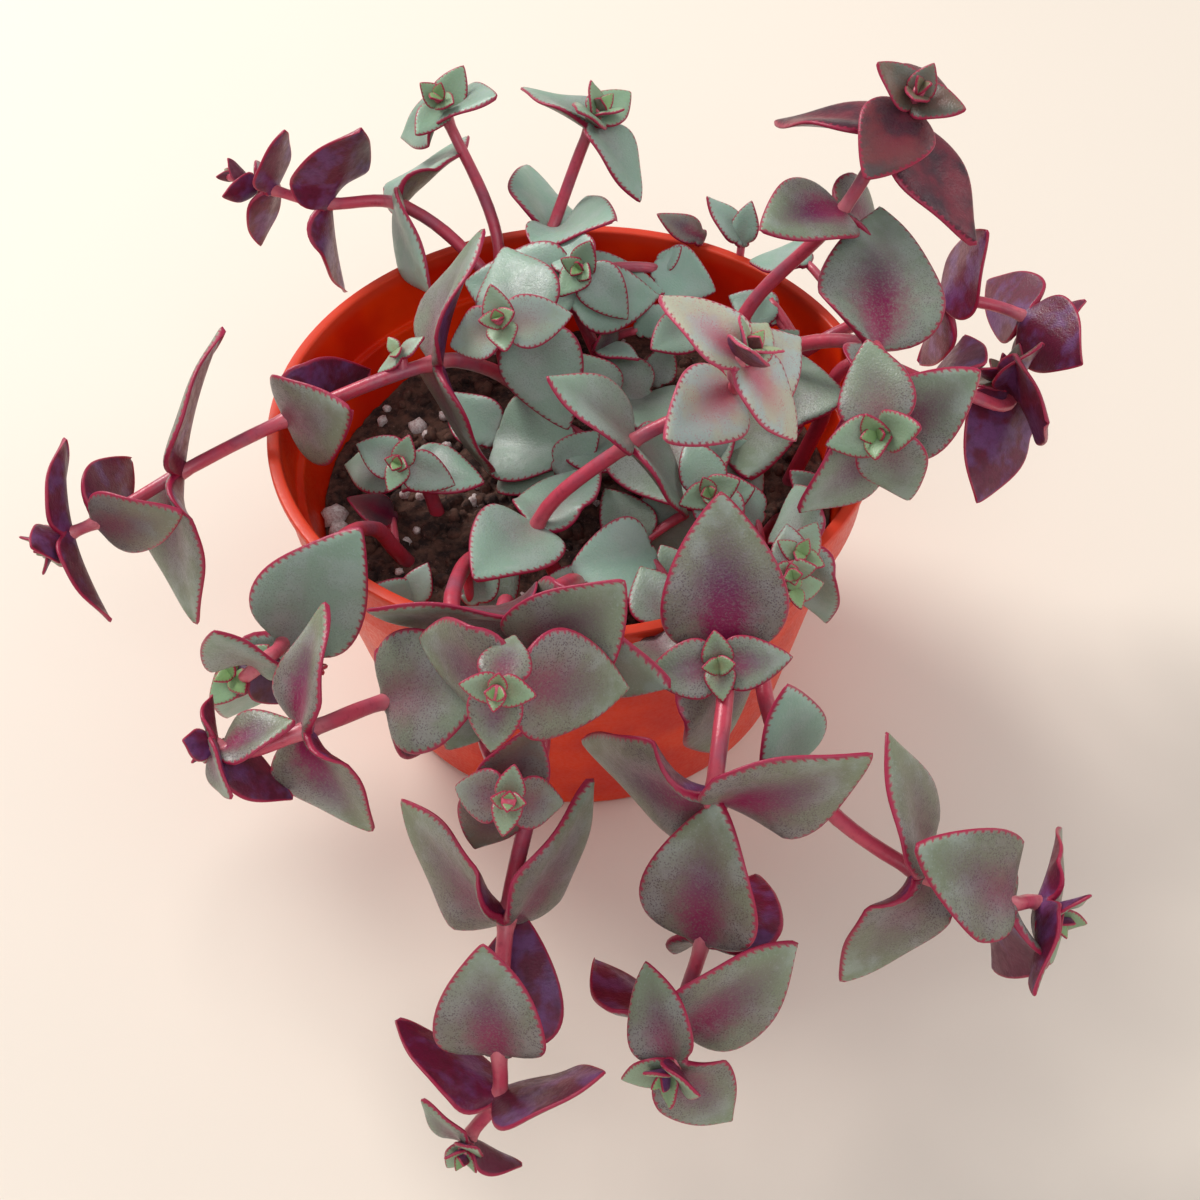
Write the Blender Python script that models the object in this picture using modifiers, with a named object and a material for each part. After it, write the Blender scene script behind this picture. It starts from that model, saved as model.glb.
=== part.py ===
"""Potted crassula: a squat nursery pot of soil with trailing stems that carry crossed pairs of leaves."""
import math

import bmesh
import bpy
from mathutils import Matrix, Vector

MM = 0.001

# Pot, in millimetres
POT_HEIGHT = 54.0
BASE_RADIUS = 33.5
LIP_RADIUS = 45.0
LIP_DEPTH = 1.4
LIP_WIDTH = 1.8
COLLAR_DEPTH = 10.5
COLLAR_RADIUS = 43.9
COLLAR_DRAFT = 0.5
SHOULDER_RADIUS = 42.0
WALL = 1.3
FLOOR = 1.5
DRAIN_COUNT = 5
DRAIN_RADIUS = 2.4
DRAIN_CIRCLE = 21.0
POT_STEPS = 40

# Soil
SOIL_TOP = 36.5
SOIL_MOUND = 1.6
GAP = 0.3

# Stems and leaves
STEM_RADIUS = 1.25
TIP_RADIUS = 0.8
STEM_STEP = 9.0
STRAIGHT_ROOT = 0.6
LEAF_THICKNESS = 1.2
LEAF_HALF_WIDTH = 0.385
LEAF_RECURVE = 0.10
COLLAR_RING = 0.9
MATURE = 13.2

LEAF_GREEN = (0.27, 0.36, 0.29, 1)
STEM_RED = (0.55, 0.09, 0.12, 1)
POT_ORANGE = (0.80, 0.10, 0.03, 1)
SOIL_BROWN = (0.09, 0.06, 0.045, 1)

# Each shoot is a route from its root in the soil to its tip, and the pairs of leaves at its last joints, the
# joints just before the tip. A pair is the leaf's length, its turn about the stem in degrees, and how far each
# of its two leaves opens from the growing direction: 90 is square to the stem, and above 90 is bent back.
SHOOTS = {
    "west": (
        [(-5, 9, 31), (-6, 10.5, 44.5), (-16.5, 3, 61), (-19.5, 1.5, 62), (-40.5, -5.5, 58.5),
         (-57.5, -9, 51.5), (-68, -16.5, 50), (-72.5, -17.5, 48.5), (-75, -19, 48)],
        [(20.5, 110, 114, 101), (17.5, 33, 120, 129), (22.5, 128, 131, 61), (15.5, 16, 133, 111),
         (14, 140, 109, 82)],
    ),
    "northwest": (
        [(-5, 16, 31), (-8, 24, 48), (-12, 29, 54.5), (-27, 39.5, 63), (-38.5, 41, 62.5), (-48.5, 49, 60),
         (-56, 52, 61)],
        [(19.5, 175, 97, 124), (18.5, 86, 120, 77), (12, 99, 103, 65)],
    ),
    "north_northwest": (
        [(-10, 23, 31), (-12, 28, 46), (-11.5, 36, 58.5), (-19, 49.5, 72.5), (-19.5, 45.5, 78.5)],
        [(12.5, 125, 68, 106)],
    ),
    "north": (
        [(0, 24, 31), (-7, 26.5, 54), (-3, 34, 60), (4, 38.5, 76.5), (5.5, 38.5, 79.5)],
        [(17.5, 318, 55, 63), (14, 164, 106, 92)],
    ),
    "northeast": (
        [(19, 2, 31), (21, 4, 48), (25.5, 10.5, 61), (38.5, 10.5, 79), (45, 13.5, 90), (46.5, 11, 95),
         (47, 9, 99)],
        [(16, 113, 100, 97), (19.5, 35, 122, 95), (13, 137, 85, 110)],
    ),
    "east": (
        [(23, 8, 31), (26, 6, 55), (41.5, -8, 70), (40, -26.5, 71.5), (38.5, -34, 78.5),
         (37.5, -35.5, 79.5)],
        [(23, 57, 124, 69), (15.5, 31, 69, 55), (12, 89, 101, 121)],
    ),
    "east_northeast": (
        [(27, 18, 31), (33, 12, 51), (57, 17.5, 57.5), (69.5, 16, 55), (72.5, 15.5, 52)],
        [(16, 103, 69, 90), (15.5, 160, 64, 92)],
    ),
    "far_east": (
        [(31, 0, 31), (40.5, 1, 59.5), (53, -4.5, 59.5), (66.5, 4.5, 50), (65.5, 6, 51.5)],
        [(14, 4, 58, 101), (18.5, 128, 137, 150)],
    ),
    "centre_right": (
        [(-7, -20.5, 31), (-3, -25, 44), (-5.5, -25, 54), (7.5, -23.5, 68), (20.5, -24.5, 77.5),
         (20.5, -31, 87.5), (22, -30.5, 89.5)],
        [(16, 345, 76, 78), (15.5, 100, 85, 95), (14, 159, 81, 78), (12.5, 80, 76, 110)],
    ),
    "centre_left": (
        [(-9, 3, 31), (-4, 5.5, 48.5), (-6, 5, 65), (-9, -4, 72.5), (-9.5, -7, 76.5)],
        [(16, 108, 95, 116), (10, 13, 106, 110)],
    ),
    "front_left": (
        [(-13, -20, 31), (-14, -25.5, 49), (-16, -40.5, 58.5), (-16.5, -58, 59.5), (-22.5, -60.5, 62),
         (-31, -68, 66.5), (-40.5, -70, 65.5), (-41.5, -69.5, 66), (-42, -69.5, 66)],
        [(18, 41, 104, 139), (15, 121, 106, 103), (10, 84, 136, 140), (8, 154, 62, 117)],
    ),
    "left_middle": (
        [(-24, -12, 31), (-28.5, -19, 49), (-33.5, -36, 60), (-37.5, -45.5, 56.5), (-38.5, -54.5, 62.5),
         (-43.5, -49, 53)],
        [(19.5, 60, 101, 84), (12.5, 92, 81, 110)],
    ),
    "centre_front": (
        [(-1, -28, 31), (0, -32, 48), (-1, -41.5, 61), (-5.5, -50.5, 66), (-4.5, -59, 68.5),
         (-7, -70, 76.5), (-8, -73, 79.5), (-8, -78, 84.5)],
        [(21, 168, 54, 58), (17.5, 51, 59, 85), (16, 351, 129, 117), (7.5, 85, 131, 90)],
    ),
    "front_centre": (
        [(2, -34, 31), (5, -36, 50), (-2, -44.5, 58.5), (-5, -67, 56.5), (-9.5, -79.5, 43),
         (-10.5, -94, 38), (-11, -97, 32), (-15, -99.5, 26), (-15.5, -101.5, 26)],
        [(20, 183, 124, 149), (17, 92, 141, 143), (15.5, 192, 93, 128), (8, 149, 101, 81)],
    ),
    "front_right": (
        [(13, -30, 31), (13.5, -36, 52), (18, -54, 61), (15.5, -73, 58), (14, -82.5, 42),
         (10.5, -90.5, 36), (10, -96.5, 38.5), (9, -98, 38.5)],
        [(20.5, 90, 106, 94), (21.5, 216, 100, 100), (19, 111, 158, 98), (18, 35, 115, 117),
         (12, 125, 118, 90)],
    ),
    "right_front": (
        [(24, -20, 31), (26, -26, 48), (23, -42.5, 59), (25, -67, 56), (40.5, -75.5, 44),
         (50.5, -80.5, 44.5), (55.5, -78.5, 40.5), (57, -80.5, 40.5)],
        [(13, 90, 115, 50), (18.5, 47, 125, 87), (17, 67, 150, 63), (12.5, 341, 81, 78)],
    ),
    "front_bud": (
        [(-9, -32.5, 31), (-9.5, -35, 48), (-9.5, -44, 58.5), (-12, -58, 54), (-9, -70.5, 58.5),
         (-8, -76.5, 63.5), (-7.5, -82, 71)],
        [(10.5, 68, 56, 98), (7.5, 168, 119, 112)],
    ),
    "right_middle": (
        [(26, -10, 31), (29.5, -15.5, 44.5), (30, -34.5, 59), (27.5, -41.5, 62.5), (27, -45.5, 65.5)],
        [(13, 283, 103, 148), (6, 100, 117, 110)],
    ),
    "north_short": (
        [(7, 14, 31), (4.5, 19.5, 45), (0, 24, 57.5), (2.5, 18.5, 65), (1.5, 16.5, 66.5)],
        [(15, 288, 76, 88), (10, 248, 125, 93)],
    ),
    "inner_left": (
        [(-20, -5, 31), (-22.5, -4, 42), (-25, -4, 46), (-24.5, -10, 53), (-25, -13, 56)],
        [(13.3, 190, 100, 80), (8, 180, 95, 95)],
    ),
    "inner_right": (
        [(12, -8, 31), (14.5, -11.5, 47.5), (17.5, -19.5, 51.5), (18.5, -24, 59), (18, -27, 62)],
        [(15.5, 208, 125, 104), (8.5, 277, 66, 95)],
    ),
}


def new_collection(name):
    collection = bpy.data.collections.new(name)
    bpy.context.scene.collection.children.link(collection)
    return collection


def material(name, colour, roughness):
    made = bpy.data.materials.new(name)
    made.use_nodes = True
    shader = made.node_tree.nodes["Principled BSDF"]
    shader.inputs["Base Color"].default_value = colour
    shader.inputs["Roughness"].default_value = roughness
    made.diffuse_color = colour
    return made


def add_object(name, mesh, collection, surface=None):
    made = bpy.data.objects.new(name, mesh)
    collection.objects.link(made)
    if surface:
        mesh.materials.append(surface)
    return made


def as_tool(made):
    """A cutter or a shape that is joined to another is drawn as wires and left out of renders."""
    made.hide_render = True
    made.display_type = "WIRE"
    return made


def boolean(target, operation, tool=None, tools=None):
    step = target.modifiers.new(operation.lower(), "BOOLEAN")
    step.operation = operation
    step.solver = "EXACT"
    if tools:
        step.operand_type = "COLLECTION"
        step.collection = tools
    else:
        step.object = tool


def turned(name, outline, collection, surface):
    """A closed ring or solid turned about Z from (radius, height) points, running down the outer side."""
    mesh = bpy.data.meshes.new(name)
    points = [Vector((radius * MM, 0, height * MM)) for radius, height in outline]
    mesh.from_pydata(points, [(i, i + 1) for i in range(len(points) - 1)], [])
    made = add_object(name, mesh, collection, surface)
    screw = made.modifiers.new("turn", "SCREW")
    screw.steps = screw.render_steps = POT_STEPS
    screw.use_merge_vertices = True
    screw.merge_threshold = 0.00005
    return made


def rod(name, radius, start, axis, length, collection):
    """A round cutter from a start point along an axis, in millimetres."""
    shape = bmesh.new()
    bmesh.ops.create_cone(shape, cap_ends=True, segments=10, radius1=radius * MM, radius2=radius * MM,
                          depth=length * MM)
    mesh = bpy.data.meshes.new(name)
    shape.to_mesh(mesh)
    shape.free()
    made = as_tool(add_object(name, mesh, collection))
    made.location = (start + axis * length / 2) * MM
    made.rotation_mode = "QUATERNION"
    made.rotation_quaternion = axis.to_track_quat("Z", "Y")
    return made


def inner_radius(height):
    """Inside of the pot's wall, which tapers from the shoulder to the floor."""
    shoulder = POT_HEIGHT - COLLAR_DEPTH
    return BASE_RADIUS + (SHOULDER_RADIUS - BASE_RADIUS) * height / shoulder - WALL


def make_pot(collection, surface):
    shoulder = POT_HEIGHT - COLLAR_DEPTH
    collar_foot = COLLAR_RADIUS - COLLAR_DRAFT
    outline = [
        (LIP_RADIUS - LIP_WIDTH, POT_HEIGHT),
        (LIP_RADIUS - 0.3, POT_HEIGHT),
        (LIP_RADIUS, POT_HEIGHT - 0.3),
        (LIP_RADIUS, POT_HEIGHT - LIP_DEPTH),
        (COLLAR_RADIUS, POT_HEIGHT - LIP_DEPTH),
        (collar_foot, shoulder),
        (SHOULDER_RADIUS, shoulder),
        (BASE_RADIUS, 0.8),
        (BASE_RADIUS - 0.6, 0),
        (0, 0),
    ]
    inside = [
        (0, FLOOR),
        (inner_radius(FLOOR), FLOOR),
        (inner_radius(shoulder + WALL), shoulder + WALL),
        (collar_foot - WALL, shoulder + WALL),
        (LIP_RADIUS - LIP_WIDTH, POT_HEIGHT),
    ]
    pot = turned("pot", outline + inside, collection, surface)
    drains = new_collection("drain_cutters")
    for i in range(DRAIN_COUNT):
        angle = 2 * math.pi * (i + 0.5) / DRAIN_COUNT
        place = Vector((DRAIN_CIRCLE * math.cos(angle), DRAIN_CIRCLE * math.sin(angle), -2))
        rod(f"drain_cutter_{i + 1}", DRAIN_RADIUS, place, Vector((0, 0, 1)), FLOOR + 4, drains)
    boolean(pot, "DIFFERENCE", tools=drains)
    return pot


def make_soil(collection, surface, sockets):
    """One body of soil that fills the pot to a gap's width of its wall, mounded in the middle."""
    floor = FLOOR + GAP
    edge = inner_radius(SOIL_TOP) - GAP
    outline = [
        (0, SOIL_TOP + SOIL_MOUND),
        (edge * 0.4, SOIL_TOP + SOIL_MOUND * 0.8),
        (edge * 0.75, SOIL_TOP + SOIL_MOUND * 0.3),
        (edge, SOIL_TOP),
        (inner_radius(floor) - GAP, floor),
        (0, floor),
    ]
    soil = turned("soil", outline, collection, surface)
    boolean(soil, "DIFFERENCE", tools=sockets)
    return soil


def tangents(route):
    """The growing direction at each point of a route, midway between the stretches before and after it."""
    found = []
    for i, point in enumerate(route):
        before = (point - route[i - 1]).normalized() if i else Vector()
        after = (route[i + 1] - point).normalized() if i + 1 < len(route) else Vector()
        found.append((before + after).normalized())
    return found


def smooth_route(route):
    """Points along a smooth curve that passes each route point in its growing direction."""
    heads = tangents(route)
    points = []
    for i in range(len(route) - 1):
        start, end = route[i], route[i + 1]
        chord = (end - start).length
        steps = max(1, round(chord / STEM_STEP))
        for k in range(steps):
            t = k / steps
            points.append(
                start * (2 * t**3 - 3 * t**2 + 1)
                + heads[i] * chord * (t**3 - 2 * t**2 + t)
                + end * (3 * t**2 - 2 * t**3)
                + heads[i + 1] * chord * (t**3 - t**2)
            )
    return points + [route[-1]]


def stem_radius(share):
    """Half the stem's thickness at a share of the way from the root to the tip."""
    return STEM_RADIUS + (TIP_RADIUS - STEM_RADIUS) * share


def make_stem(name, points, collection, surface):
    """A tapering tube along the points, made a mesh with welded caps so that its tip can be joined on."""
    curve = bpy.data.curves.new(name, "CURVE")
    curve.dimensions = "3D"
    curve.bevel_depth = MM
    curve.bevel_resolution = 2
    curve.use_fill_caps = True
    line = curve.splines.new("POLY")
    line.points.add(len(points) - 1)
    for i, point in enumerate(points):
        line.points[i].co = (*(point * MM), 1)
        line.points[i].radius = stem_radius(i / (len(points) - 1))
    guide = bpy.data.objects.new(name + "_curve", curve)
    collection.objects.link(guide)
    seen = guide.evaluated_get(bpy.context.evaluated_depsgraph_get())
    mesh = bpy.data.meshes.new_from_object(seen)
    weld = bmesh.new()
    weld.from_mesh(mesh)
    bmesh.ops.remove_doubles(weld, verts=weld.verts, dist=0.00001)
    bmesh.ops.recalc_face_normals(weld, faces=weld.faces)
    weld.to_mesh(mesh)
    weld.free()
    bpy.data.objects.remove(guide)
    mesh.materials.clear()
    mesh.shade_smooth()
    return add_object(name, mesh, collection, surface)


def half_width(share):
    """Half the blade's width as a share of its length: broad near the base, drawn out to a point."""
    return max(0.02, LEAF_HALF_WIDTH * math.sin(math.pi * min(share, 0.999) ** 0.66) ** 0.77)


def blade_point(share, side, length, opening, hole):
    """A point of one leaf in its joint's frame: X across the stem to the leaf, Y across the blade, Z the
    growing direction. side runs from -1 to 1 over the blade's width."""
    angle = math.radians(opening)
    along = Vector((math.sin(angle), 0, math.cos(angle)))
    upper = Vector((-math.cos(angle), 0, math.sin(angle)))
    width = length * max(half_width(share), 0.16 if share < 0.1 else 0)
    channel = 0.32 * (1 - share) * width * abs(side)
    droop = LEAF_RECURVE * length * share**2
    centre = Vector((hole, 0, 0)) + along * (length - hole) * share
    return centre + upper * (channel - droop) + Vector((0, side * width, 0))


def pair_mesh(name, length, openings, hole):
    """Two opposite leaves joined round the stem: a grid with its middle row cut out, laid over both blades
    and welded along their midribs, which leaves a four-sided hole for the stem."""
    shares = (0, 0.3, 0.62, 0.86, 1)
    columns = len(shares)
    sheet = bmesh.new()
    bmesh.ops.create_grid(sheet, x_segments=2 * columns, y_segments=3, size=1)
    middle = [face for face in sheet.faces if abs(face.calc_center_median().y) < 0.1]
    bmesh.ops.delete(sheet, geom=middle, context="FACES_ONLY")
    midrib = []
    for vertex in sheet.verts:
        column = round(vertex.co.x * columns)
        row = round(vertex.co.y * 1.5 + 1.5)
        side = (-1, 0, 0, 1)[row]
        if column == 0:
            reach = hole if row in (1, 2) else hole + COLLAR_RING
            vertex.co = Vector((0, reach if row > 1 else -reach, 0))
            continue
        opening = openings[0] if column > 0 else openings[1]
        vertex.co = blade_point(shares[abs(column) - 1], side, length, opening, hole)
        if column < 0:
            vertex.co.x *= -1
        if side == 0:
            midrib.append(vertex)
    bmesh.ops.remove_doubles(sheet, verts=midrib, dist=0.001)
    bmesh.ops.scale(sheet, vec=(MM, MM, MM), verts=sheet.verts)
    mesh = bpy.data.meshes.new(name)
    sheet.to_mesh(mesh)
    sheet.free()
    return mesh


def joint_frame(point, growing, turn, aside):
    """The pair's frame at a joint: X towards its first leaf, Z along the stem."""
    level = (aside - growing * aside.dot(growing)).normalized()
    across = Matrix.Rotation(math.radians(turn), 3, growing) @ level
    frame = Matrix((across, growing.cross(across), growing)).transposed().to_4x4()
    frame.translation = point * MM
    return frame


def make_pair(name, frame, length, openings, hole, collection, surface):
    made = add_object(name, pair_mesh(name, length, openings, hole), collection, surface)
    made.matrix_world = frame
    skin = made.modifiers.new("thickness", "SOLIDIFY")
    skin.thickness = LEAF_THICKNESS * MM
    skin.offset = 0
    return made


def make_bud(name, frame, radius, collection):
    """The closed leaves at the growing tip, as one small egg."""
    egg = bmesh.new()
    bmesh.ops.create_icosphere(egg, subdivisions=1, radius=radius * 1.3 * MM)
    bmesh.ops.scale(egg, vec=(1, 1, 1.7), verts=egg.verts)
    mesh = bpy.data.meshes.new(name)
    egg.to_mesh(mesh)
    egg.free()
    made = as_tool(add_object(name, mesh, collection))
    made.matrix_world = frame
    return made


def make_shoot(name, route, pairs, collection, tips, sockets, surfaces):
    """One stem with its separate leaf pairs. Its tip pair, other small pairs and bud are one body with it."""
    root, *rest = [Vector(point) for point in route]
    route = [root, root.lerp(rest[0], STRAIGHT_ROOT), *rest]
    heads = tangents(route)
    points = smooth_route(route)
    stem = make_stem("stem_" + name, points, collection, surfaces["stem"])
    heading = (route[-1] - route[0]) * Vector((1, 1, 0))
    aside = Vector((-heading.y, heading.x, 0)).normalized()
    first = len(route) - 1 - len(pairs)
    for k, (length, turn, *openings) in enumerate(pairs):
        spot = first + k
        frame = joint_frame(route[spot], heads[spot], turn, aside)
        radius = stem_radius(spot / (len(route) - 1))
        if k == len(pairs) - 1 or length < MATURE:
            young = make_pair(f"{name}_tip_{k + 1}", frame, length, openings, radius * 0.6, tips, None)
            boolean(stem, "UNION", tool=as_tool(young))
        else:
            hole = (radius + GAP) * math.sqrt(2) * 1.08
            make_pair(f"leaves_{name}_{k + 1}", frame, length, openings, hole, collection, surfaces["leaf"])
    bud_frame = joint_frame(route[-1], heads[-1], 0, aside)
    boolean(stem, "UNION", tool=make_bud(name + "_bud", bud_frame, TIP_RADIUS, tips))
    axis = heads[0]
    rod(name + "_socket", STEM_RADIUS + GAP, route[0] - axis * GAP, axis, 14, sockets)


def main():
    for made in list(bpy.data.objects):
        bpy.data.objects.remove(made)
    collection = new_collection("potted_crassula")
    sockets = new_collection("socket_cutters")
    tips = new_collection("tip_shapes")
    surfaces = {
        "stem": material("stem_red", STEM_RED, 0.4),
        "leaf": material("leaf_green", LEAF_GREEN, 0.45),
        "pot": material("pot_orange", POT_ORANGE, 0.35),
        "soil": material("soil_brown", SOIL_BROWN, 0.95),
    }
    for name, (route, pairs) in SHOOTS.items():
        make_shoot(name, route, pairs, collection, tips, sockets, surfaces)
    make_pot(collection, surfaces["pot"])
    make_soil(collection, surfaces["soil"], sockets)


main()
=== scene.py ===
import math
import random

import bpy
import numpy as np
from mathutils import Matrix, Vector, noise


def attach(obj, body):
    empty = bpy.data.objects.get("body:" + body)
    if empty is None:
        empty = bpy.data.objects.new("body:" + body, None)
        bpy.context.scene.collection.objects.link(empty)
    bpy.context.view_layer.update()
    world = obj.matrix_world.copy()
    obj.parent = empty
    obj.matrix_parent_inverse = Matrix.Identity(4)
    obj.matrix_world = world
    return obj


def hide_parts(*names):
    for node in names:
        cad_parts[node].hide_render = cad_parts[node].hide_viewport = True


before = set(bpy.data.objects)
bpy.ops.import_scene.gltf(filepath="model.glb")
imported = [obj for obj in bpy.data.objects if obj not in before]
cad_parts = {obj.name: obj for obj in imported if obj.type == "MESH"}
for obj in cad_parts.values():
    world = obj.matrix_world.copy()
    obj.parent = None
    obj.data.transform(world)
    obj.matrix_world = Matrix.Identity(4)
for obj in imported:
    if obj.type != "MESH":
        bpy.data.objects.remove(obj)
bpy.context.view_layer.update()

mm = 0.001


def startFresh():
    if bpy.context.object and bpy.context.object.mode != "OBJECT":
        bpy.ops.object.mode_set(mode="OBJECT")
    bpy.ops.object.select_all(action="DESELECT")


def pick(piece):
    startFresh()
    piece.select_set(True)
    bpy.context.view_layer.objects.active = piece


def applyAll(piece):
    pick(piece)
    for step in list(piece.modifiers):
        bpy.ops.object.modifier_apply(modifier=step.name)


def joinInto(pieces, name):
    startFresh()
    for piece in pieces:
        piece.select_set(True)
    bpy.context.view_layer.objects.active = pieces[0]
    if len(pieces) > 1:
        bpy.ops.object.join()
    joined = bpy.context.object
    joined.name = name
    joined.data.name = name
    return joined


def copyOf(master):
    twin = master.copy()
    twin.data = master.data.copy()
    bpy.context.scene.collection.objects.link(twin)
    return twin


def settle(piece):
    # the place goes into the mesh, so the object itself sits at the origin
    pick(piece)
    bpy.ops.object.transform_apply(location=True, rotation=True, scale=True)


def discard(piece):
    startFresh()
    bpy.data.objects.remove(piece)


def placesOf(piece):
    places = np.empty(len(piece.data.vertices) * 3)
    piece.data.vertices.foreach_get("co", places)
    return places.reshape(-1, 3)


def movePoints(piece, places):
    piece.data.vertices.foreach_set("co", np.ascontiguousarray(places, dtype=np.float32).ravel())
    piece.data.update()


def paintPoints(piece, name, values):
    # one number for each point, read by the material of the same piece
    layer = piece.data.attributes.new(name, "FLOAT", "POINT")
    layer.data.foreach_set("value", np.broadcast_to(values, len(piece.data.vertices)).astype(np.float32))


def dress(piece, finish):
    piece.data.materials.clear()
    piece.data.materials.append(finish)


# camera, light and floor
print("camera, light and floor")
view = {"place": (0.003, -0.185, 0.218), "down": 48.2, "roll": -1.9, "lens": 50, "sensor": 36}
cameraData = bpy.data.cameras.new("camera")
cameraData.lens = view["lens"]
cameraData.sensor_width = view["sensor"]
cameraData.clip_start = 0.01
camera = bpy.data.objects.new("camera", cameraData)
bpy.context.scene.collection.objects.link(camera)
turnDown = Matrix.Rotation(math.radians(90 - view["down"]), 4, "X")
rollOver = Matrix.Rotation(math.radians(view["roll"]), 4, "Z")
camera.matrix_world = Matrix.Translation(view["place"]) @ turnDown @ rollOver
bpy.context.scene.camera = camera

studio = {
    "window": {"place": (-0.5, 0.5, 0.75), "size": 0.45, "power": 8.6, "colour": (1.0, 0.98, 0.95)},
    "front": {"place": (0.1, -0.75, 0.8), "size": 0.9, "power": 4.0, "colour": (0.97, 0.98, 1.0)},
    "side": {"place": (0.8, 0.1, 0.5), "size": 0.6, "power": 1.7, "colour": (1.0, 0.97, 0.94)},
}
for lampName, lamp in studio.items():
    lampData = bpy.data.lights.new(lampName, "AREA")
    lampData.shape = "DISK"
    lampData.size = lamp["size"]
    lampData.energy = lamp["power"]
    lampData.color = lamp["colour"]
    light = bpy.data.objects.new(lampName, lampData)
    bpy.context.scene.collection.objects.link(light)
    light.location = lamp["place"]
    light.rotation_euler = (Vector((0, -0.02, 0.04)) - Vector(lamp["place"])).to_track_quat("-Z", "Y").to_euler()

world = bpy.data.worlds.new("studio air")
world.use_nodes = True
world.node_tree.nodes["Background"].inputs["Color"].default_value = (0.92, 0.95, 1.0, 1)
world.node_tree.nodes["Background"].inputs["Strength"].default_value = 0.42
bpy.context.scene.world = world
bpy.context.scene.view_settings.view_transform = "Standard"
bpy.context.scene.view_settings.look = "None"

startFresh()
bpy.ops.mesh.primitive_plane_add(size=4, location=(0, 0, 0))
floor = bpy.context.object
floor.name = "floor"
floorPaint = bpy.data.materials.new("pale floor")
floorPaint.use_nodes = True
floorShader = floorPaint.node_tree.nodes["Principled BSDF"]
floorShader.inputs["Base Color"].default_value = (0.80, 0.71, 0.61, 1)
floorShader.inputs["Roughness"].default_value = 0.7
floor.data.materials.append(floorPaint)


# nodes of a material
def shade(red, green, blue):
    # a colour as picked on a screen, 0 to 255, made the linear colour that a shader takes
    found = [((c / 255 + 0.055) / 1.055) ** 2.4 if c > 10 else c / 255 / 12.92 for c in (red, green, blue)]
    return (*found, 1)


def newFinish(name):
    finish = bpy.data.materials.new(name)
    finish.use_nodes = True
    return finish, finish.node_tree, finish.node_tree.nodes["Principled BSDF"]


def feed(tree, socket, value):
    if isinstance(value, bpy.types.NodeSocket):
        tree.links.new(value, socket)
    elif value is not None:
        socket.default_value = value


def reading(tree, name):
    node = tree.nodes.new("ShaderNodeAttribute")
    node.attribute_name = name
    return node.outputs["Fac"]


def calc(tree, what, first, second=None, clamp=False):
    node = tree.nodes.new("ShaderNodeMath")
    node.operation = what
    node.use_clamp = clamp
    feed(tree, node.inputs[0], first)
    feed(tree, node.inputs[1], second)
    return node.outputs[0]


def fade(tree, value, start, end, low=0.0, high=1.0):
    # low at start, high at end, eased between
    node = tree.nodes.new("ShaderNodeMapRange")
    node.interpolation_type = "SMOOTHSTEP"
    feed(tree, node.inputs["Value"], value)
    for socket, number in zip(("From Min", "From Max", "To Min", "To Max"), (start, end, low, high)):
        node.inputs[socket].default_value = number
    if start > end:
        node.inputs["From Min"].default_value, node.inputs["From Max"].default_value = end, start
        node.inputs["To Min"].default_value, node.inputs["To Max"].default_value = high, low
    return node.outputs["Result"]


def blendOf(tree, share, first, second, how="MIX"):
    node = tree.nodes.new("ShaderNodeMix")
    node.data_type = "RGBA"
    node.blend_type = how
    node.clamp_result = True
    feed(tree, node.inputs[0], share)
    feed(tree, node.inputs[6], first)
    feed(tree, node.inputs[7], second)
    return node.outputs[2]


def grain(tree, size, detail=3.0, roughness=0.55):
    # noise whose spots are about size millimetres
    node = tree.nodes.new("ShaderNodeTexNoise")
    node.inputs["Scale"].default_value = 1000 / size
    node.inputs["Detail"].default_value = detail
    node.inputs["Roughness"].default_value = roughness
    tree.links.new(objectPlace(tree), node.inputs["Vector"])
    return node.outputs["Fac"]


def flecks(tree, size, feature="F1"):
    node = tree.nodes.new("ShaderNodeTexVoronoi")
    node.feature = feature
    node.inputs["Scale"].default_value = 1000 / size
    tree.links.new(objectPlace(tree), node.inputs["Vector"])
    return node.outputs["Distance"]


def objectPlace(tree):
    for node in tree.nodes:
        if node.bl_idname == "ShaderNodeTexCoord":
            return node.outputs["Object"]
    return tree.nodes.new("ShaderNodeTexCoord").outputs["Object"]


def relief(tree, shader, height, depth, strength=1.0):
    node = tree.nodes.new("ShaderNodeBump")
    node.inputs["Strength"].default_value = strength
    node.inputs["Distance"].default_value = depth * mm
    tree.links.new(height, node.inputs["Height"])
    tree.links.new(node.outputs["Normal"], shader.inputs["Normal"])


print("leaf, stem, pot and soil finishes")
leafPaint = {
    "teal": shade(148, 182, 164), "olive": shade(122, 130, 102), "ashen": shade(174, 186, 180),
    "dusk": shade(114, 72, 90), "fleck": shade(66, 34, 48), "blush": shade(134, 30, 74), "rib": shade(98, 34, 78),
    "rim": shade(158, 30, 66), "underRed": shade(104, 22, 56), "underMauve": shade(112, 62, 112),
    "underGreen": shade(116, 128, 92), "wine": shade(118, 20, 44), "wineDark": shade(62, 12, 34),
    "cream": shade(186, 184, 162), "pink": shade(190, 66, 96), "fresh": shade(124, 156, 98), "roughness": 0.36,
}
leafFinish, tree, shader = newFinish("leaf")
across, along = calc(tree, "ABSOLUTE", reading(tree, "across")), reading(tree, "along")
rimGap, rimRun, upper = reading(tree, "rimGap"), reading(tree, "rimRun"), reading(tree, "upper")
tone, blush, wine = reading(tree, "tone"), reading(tree, "blush"), reading(tree, "wine")
cream, youth, under = reading(tree, "cream"), reading(tree, "youth"), reading(tree, "under")
patches, finer, speck = grain(tree, 5.0, 3), grain(tree, 1.1, 4, 0.65), grain(tree, 0.3, 2)
dots = flecks(tree, 0.25)

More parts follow.
